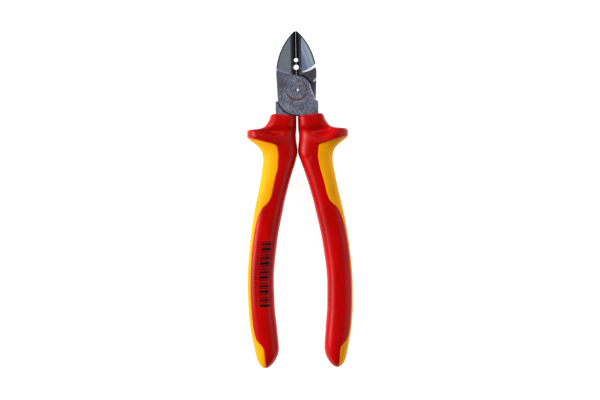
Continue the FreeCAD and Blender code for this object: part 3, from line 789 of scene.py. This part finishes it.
def lever_material(name, jaw):
    """Forged steel whose jaw is ground, with painted shade on its steep sides and a painted
    highlight on its chamfers facing right.
    """
    paint = Paint(name)
    facing = paint.normal()
    steep = paint.fall(paint.number("ABSOLUTE", facing[2]), 0.9, 0.94)
    tint = forged_colour(paint)
    # painted light: steep sides are painted dark as shade, and chamfers that face right and up
    # are painted bright as a highlight
    lit = paint.both(
        paint.rise(facing[0], 0.1, 0.5),
        paint.rise(facing[2], 0.15, 0.3),
        paint.rise(paint.y, -5.4, -5.0),
    )
    edge = paint.mix(lit, colour(58, 60, 74), colour(186, 194, 212))
    tint = paint.mix(paint.number("MULTIPLY", steep, 0.85), tint, edge)
    tint = jaw.cheek(paint, tint, facing)
    tint, ground, hole = jaw_colour(paint, tint, jaw, facing)
    tint = rust_ring(paint, tint)
    # painted shade: the stripping holes and a ring round each are painted near black
    tint = paint.mix(hole, tint, colour(20, 20, 26))
    rough = paint.number("MULTIPLY_ADD", ground, -0.18, 0.5)
    coarse = paint.noise(2.4, (1, 0.5, 1), 5.0)
    fine = paint.noise(3.0, (6, 0.25, 1), 3.0)
    height = paint.node("ShaderNodeMix", {"Factor": ground, 2: coarse, 3: fine}).outputs[0]
    paint.bump(height, 0.4, 0.06)
    # the painted hole shade is also made less metallic, so it stays dark
    metal = paint.number("MULTIPLY_ADD", hole, -0.7, 0.75)
    return paint.finish(base_color=tint, roughness=rough, metallic=metal)


def plain_facet(paint):
    """An even grey facet with faint grinding marks."""
    marks = paint.noise(1.5, (0.25, 3, 1), 4.0)
    return paint.ramp(marks, (0.3, colour(116, 124, 134)), (0.7, colour(136, 144, 154)))


def streaked_facet_painted_reflection(paint):
    """A facet painted bluish and lighter than the left one as painted reflection, darker towards
    the cutting edge, with slanting streaks.
    """
    across = paint.number(
        "MULTIPLY_ADD", paint.y, 0.323, paint.number("MULTIPLY_ADD", paint.x, 0.946, -8.53)
    )
    waver = paint.number("MULTIPLY_ADD", paint.noise(0.9, (2.5, 0.4, 1), 4.0), 1.6, -0.8)
    share = paint.number("MULTIPLY_ADD", paint.number("ADD", across, waver), 0.2, 0.4)
    return paint.ramp(
        share,
        (0.15, colour(116, 132, 164)),
        (0.38, colour(132, 150, 184)),
        (0.50, colour(168, 185, 210)),
        (0.72, colour(146, 165, 188)),
        (0.95, colour(176, 191, 206)),
    )


def plain_cheek(paint, tint, facing):
    """The left cheek runs into the front plate, and is browner towards its outer edge."""
    outer = paint.both(paint.fall(paint.x, -8.0, -1.5), paint.rise(paint.y, -3.0, 3.0))
    return paint.mix(paint.number("MULTIPLY", outer, 0.6), tint, colour(70, 64, 74))


def dark_cheek(paint, tint, facing):
    """The right cheek is rough and dark, with painted shadow close to the rivet and a painted
    highlight on one corner.
    """
    cheek = paint.both(
        paint.rise(paint.x, 0.2, 1.2),
        paint.rise(paint.y, 2.9, 3.1),
        paint.rise(paint.z, MID_Z, MID_Z + 0.2),
    )
    plate = paint.both(
        paint.rise(paint.x, 4.0, 5.0),
        paint.fall(paint.y, 3.0, 3.4),
        paint.rise(paint.y, -5.6, -5.4),
    )
    rough = paint.ramp(
        paint.noise(1.8, detail=6.0), (0.35, colour(46, 44, 50)), (0.65, colour(88, 86, 94))
    )
    tint = paint.mix(paint.number("MULTIPLY", cheek, 0.9), tint, rough)
    tint = paint.mix(paint.number("MULTIPLY", plate, 0.6), tint, colour(138, 130, 132))
    # painted shadow on the cheek close to the rivet, beside the edge of the front plate
    corner = paint.both(cheek, paint.fall(distance(paint, 0, 0), STEP_RADIUS, STEP_RADIUS + 0.7))
    tint = paint.mix(paint.number("MULTIPLY", corner, 0.9), tint, colour(14, 14, 17))
    # painted highlight on the right jaw's lower outer corner
    glint_x, glint_y, glint_wide = CORNER_GLINT
    ragged = paint.number("MULTIPLY_ADD", paint.noise(1.1, (1, 0.6, 1), 3.0), 1.6, -0.8)
    away = paint.number("ADD", distance(paint, glint_x, glint_y), ragged)
    painted_glint = paint.fall(away, glint_wide, glint_wide + 0.35)
    return paint.mix(paint.both(painted_glint, cheek), tint, colour(196, 192, 192))


def rivet_material():
    """The rivet's head: forged steel that has been ground flush, with a painted highlight on the
    left-facing side of its dimple and painted shade on the rest of it.
    """
    paint = Paint("rivet_steel_spun")
    facing = paint.normal()
    tint = forged_colour(paint)
    tint = rust_ring(paint, tint)
    sunk = paint.both(
        paint.fall(distance(paint, 0, 0), 0.68, 0.76), paint.rise(paint.z, MID_Z, MID_Z + 1)
    )
    # painted light in the dimple: bright where it faces left, dark elsewhere
    faces_left = paint.fall(facing[0], -0.3, -0.15)
    glint = paint.mix(faces_left, colour(22, 24, 32), colour(240, 244, 250))
    tint = paint.mix(sunk, tint, glint)
    paint.bump(paint.noise(2.4, (1, 0.5, 1), 5.0), 0.4, 0.06)
    return paint.finish(base_color=tint, roughness=0.45, metallic=0.75)


FLOOR_GLOW = 0.93


def floor_material():
    """A pale, faintly glowing table, like a light table."""
    paint = Paint("pale_table")
    tint = paint.ramp(
        paint.noise(0.05, detail=2.0), (0.3, colour(176, 176, 176)), (0.7, colour(184, 184, 184))
    )
    paint.put(paint.shader.inputs["Emission Color"], (1, 1, 1, 1))
    paint.put(paint.shader.inputs["Emission Strength"], FLOOR_GLOW)
    return paint.finish(base_color=tint, roughness=0.9)


# --- the model --------------------------------------------------------------------------------
def set_material(piece, material):
    piece.data.materials.clear()
    piece.data.materials.append(material)


def make_grips():
    """A shell and a pad on each handle, in place of the CAD's."""
    red, yellow = red_shell_material(), yellow_pad_material()
    for word, (side, body) in HANDLES.items():
        shell_rings, pad_rings = grip_rings(side)
        shell = mesh_from_rings(f"{word}_moulded_shell", shell_rings, side)
        pad = mesh_from_rings(f"{word}_moulded_pad", pad_rings, side)
        for piece, node, slot, material in (
            (shell, f"{word}_grip_shell", "shell_plastic", red),
            (pad, f"{word}_soft_pad", "pad_plastic", yellow),
        ):
            set_material(piece, material)
            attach(piece, body)
            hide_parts(node)


def add_print():
    """The printed bars, which are on the left handle only."""
    side, body = HANDLES["left"]
    bars = make_print(side)
    set_material(bars, ink_material())
    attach(bars, body)


def dress_steel():
    """Gives the levers and the rivet their looks."""
    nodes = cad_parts
    left_bevel = colour(36, 36, 42), colour(84, 86, 98), colour(132, 138, 154)
    right_bevel = colour(30, 30, 36), colour(50, 52, 62), colour(86, 92, 106)
    # each jaw's fifth value is the tint of the painted highlight on its step
    left_jaw = Jaw(
        -1, 21.6, 14.0, plain_facet, colour(150, 156, 176), left_bevel, plain_cheek
    )
    right_jaw = Jaw(
        1, 20.4, 12.0, streaked_facet_painted_reflection, colour(250, 252, 255), right_bevel, dark_cheek
    )
    set_material(nodes["front_lever"], lever_material("forged_steel_front", left_jaw))
    set_material(nodes["rear_lever"], lever_material("forged_steel_rear", right_jaw))
    set_material(nodes["joint_rivet"], rivet_material())


def dress_sleeves():
    """The sleeves are hidden inside the grips."""
    paint, tint, rough = moulded_plastic("inner_sleeve_plastic", *YELLOWS, roughness=0.32)
    material = paint.finish(base_color=tint, roughness=rough)
    for word in HANDLES:
        set_material(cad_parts[f"{word}_tang_sleeve"], material)


# --- the stage --------------------------------------------------------------------------------
VIEW_CENTRE = (0.66, -52.1)          # x and y that the camera is over
VIEW_HIGH = 1000.0                   # its height
VIEW_ROLL = -1.05                    # degrees
VIEW_WIDE = 285.0                    # width that it sees, halfway up the tool
FLOOR_HALF, FLOOR_GAP = 2500.0, 0.2  # half the floor's width, and its depth below the tool
WORLD_LIGHT = 0.13

# Name, place and size in metres, and power in watts.
LIGHTS = [
    ("key_light", (-1.2, 0.12, 0.62), 0.6, 29),
    ("top_light", (0.1, 0.95, 0.85), 0.6, 5),
    ("right_light", (1.15, -0.1, 0.62), 1.0, 8),
]


def make_floor():
    mesh = bpy.data.meshes.new("table")
    made = bmesh.new()
    bmesh.ops.create_grid(made, x_segments=4, y_segments=4, size=FLOOR_HALF * MM)
    made.to_mesh(mesh)
    made.free()
    floor = bpy.data.objects.new("table", mesh)
    floor.location.z = FLOOR_Z - FLOOR_GAP * MM
    set_material(floor, floor_material())
    bpy.context.scene.collection.objects.link(floor)


def make_camera():
    """A camera that looks straight down on the front of the tool."""
    camera = bpy.data.objects.new("camera", bpy.data.cameras.new("camera"))
    camera.data.lens = camera.data.sensor_width * (VIEW_HIGH - MID_Z) / VIEW_WIDE
    camera.location = Vector((*VIEW_CENTRE, VIEW_HIGH)) * MM
    camera.rotation_euler = (0, 0, math.radians(VIEW_ROLL))
    bpy.context.scene.collection.objects.link(camera)
    bpy.context.scene.camera = camera


def soft_light(name, place, size, power):
    """A square studio light that faces the middle of the tool."""
    light = bpy.data.lights.new(name, "AREA")
    light.shape, light.size, light.energy = "SQUARE", size, power
    lamp = bpy.data.objects.new(name, light)
    lamp.location = place
    target = Vector((*VIEW_CENTRE, MID_Z)) * MM
    lamp.rotation_euler = (target - lamp.location).to_track_quat("-Z", "Y").to_euler()
    bpy.context.scene.collection.objects.link(lamp)


def light_studio():
    """Three soft lights and a faint even light from all round."""
    for light in LIGHTS:
        soft_light(*light)
    world = bpy.data.worlds.new("studio")
    world.use_nodes = True
    background = world.node_tree.nodes["Background"]
    background.inputs["Color"].default_value = (1, 1, 1, 1)
    background.inputs["Strength"].default_value = WORLD_LIGHT
    bpy.context.scene.world = world
    bpy.context.scene.view_settings.view_transform = "Standard"


make_camera()
make_grips()
add_print()
dress_steel()
dress_sleeves()
make_floor()
light_studio()
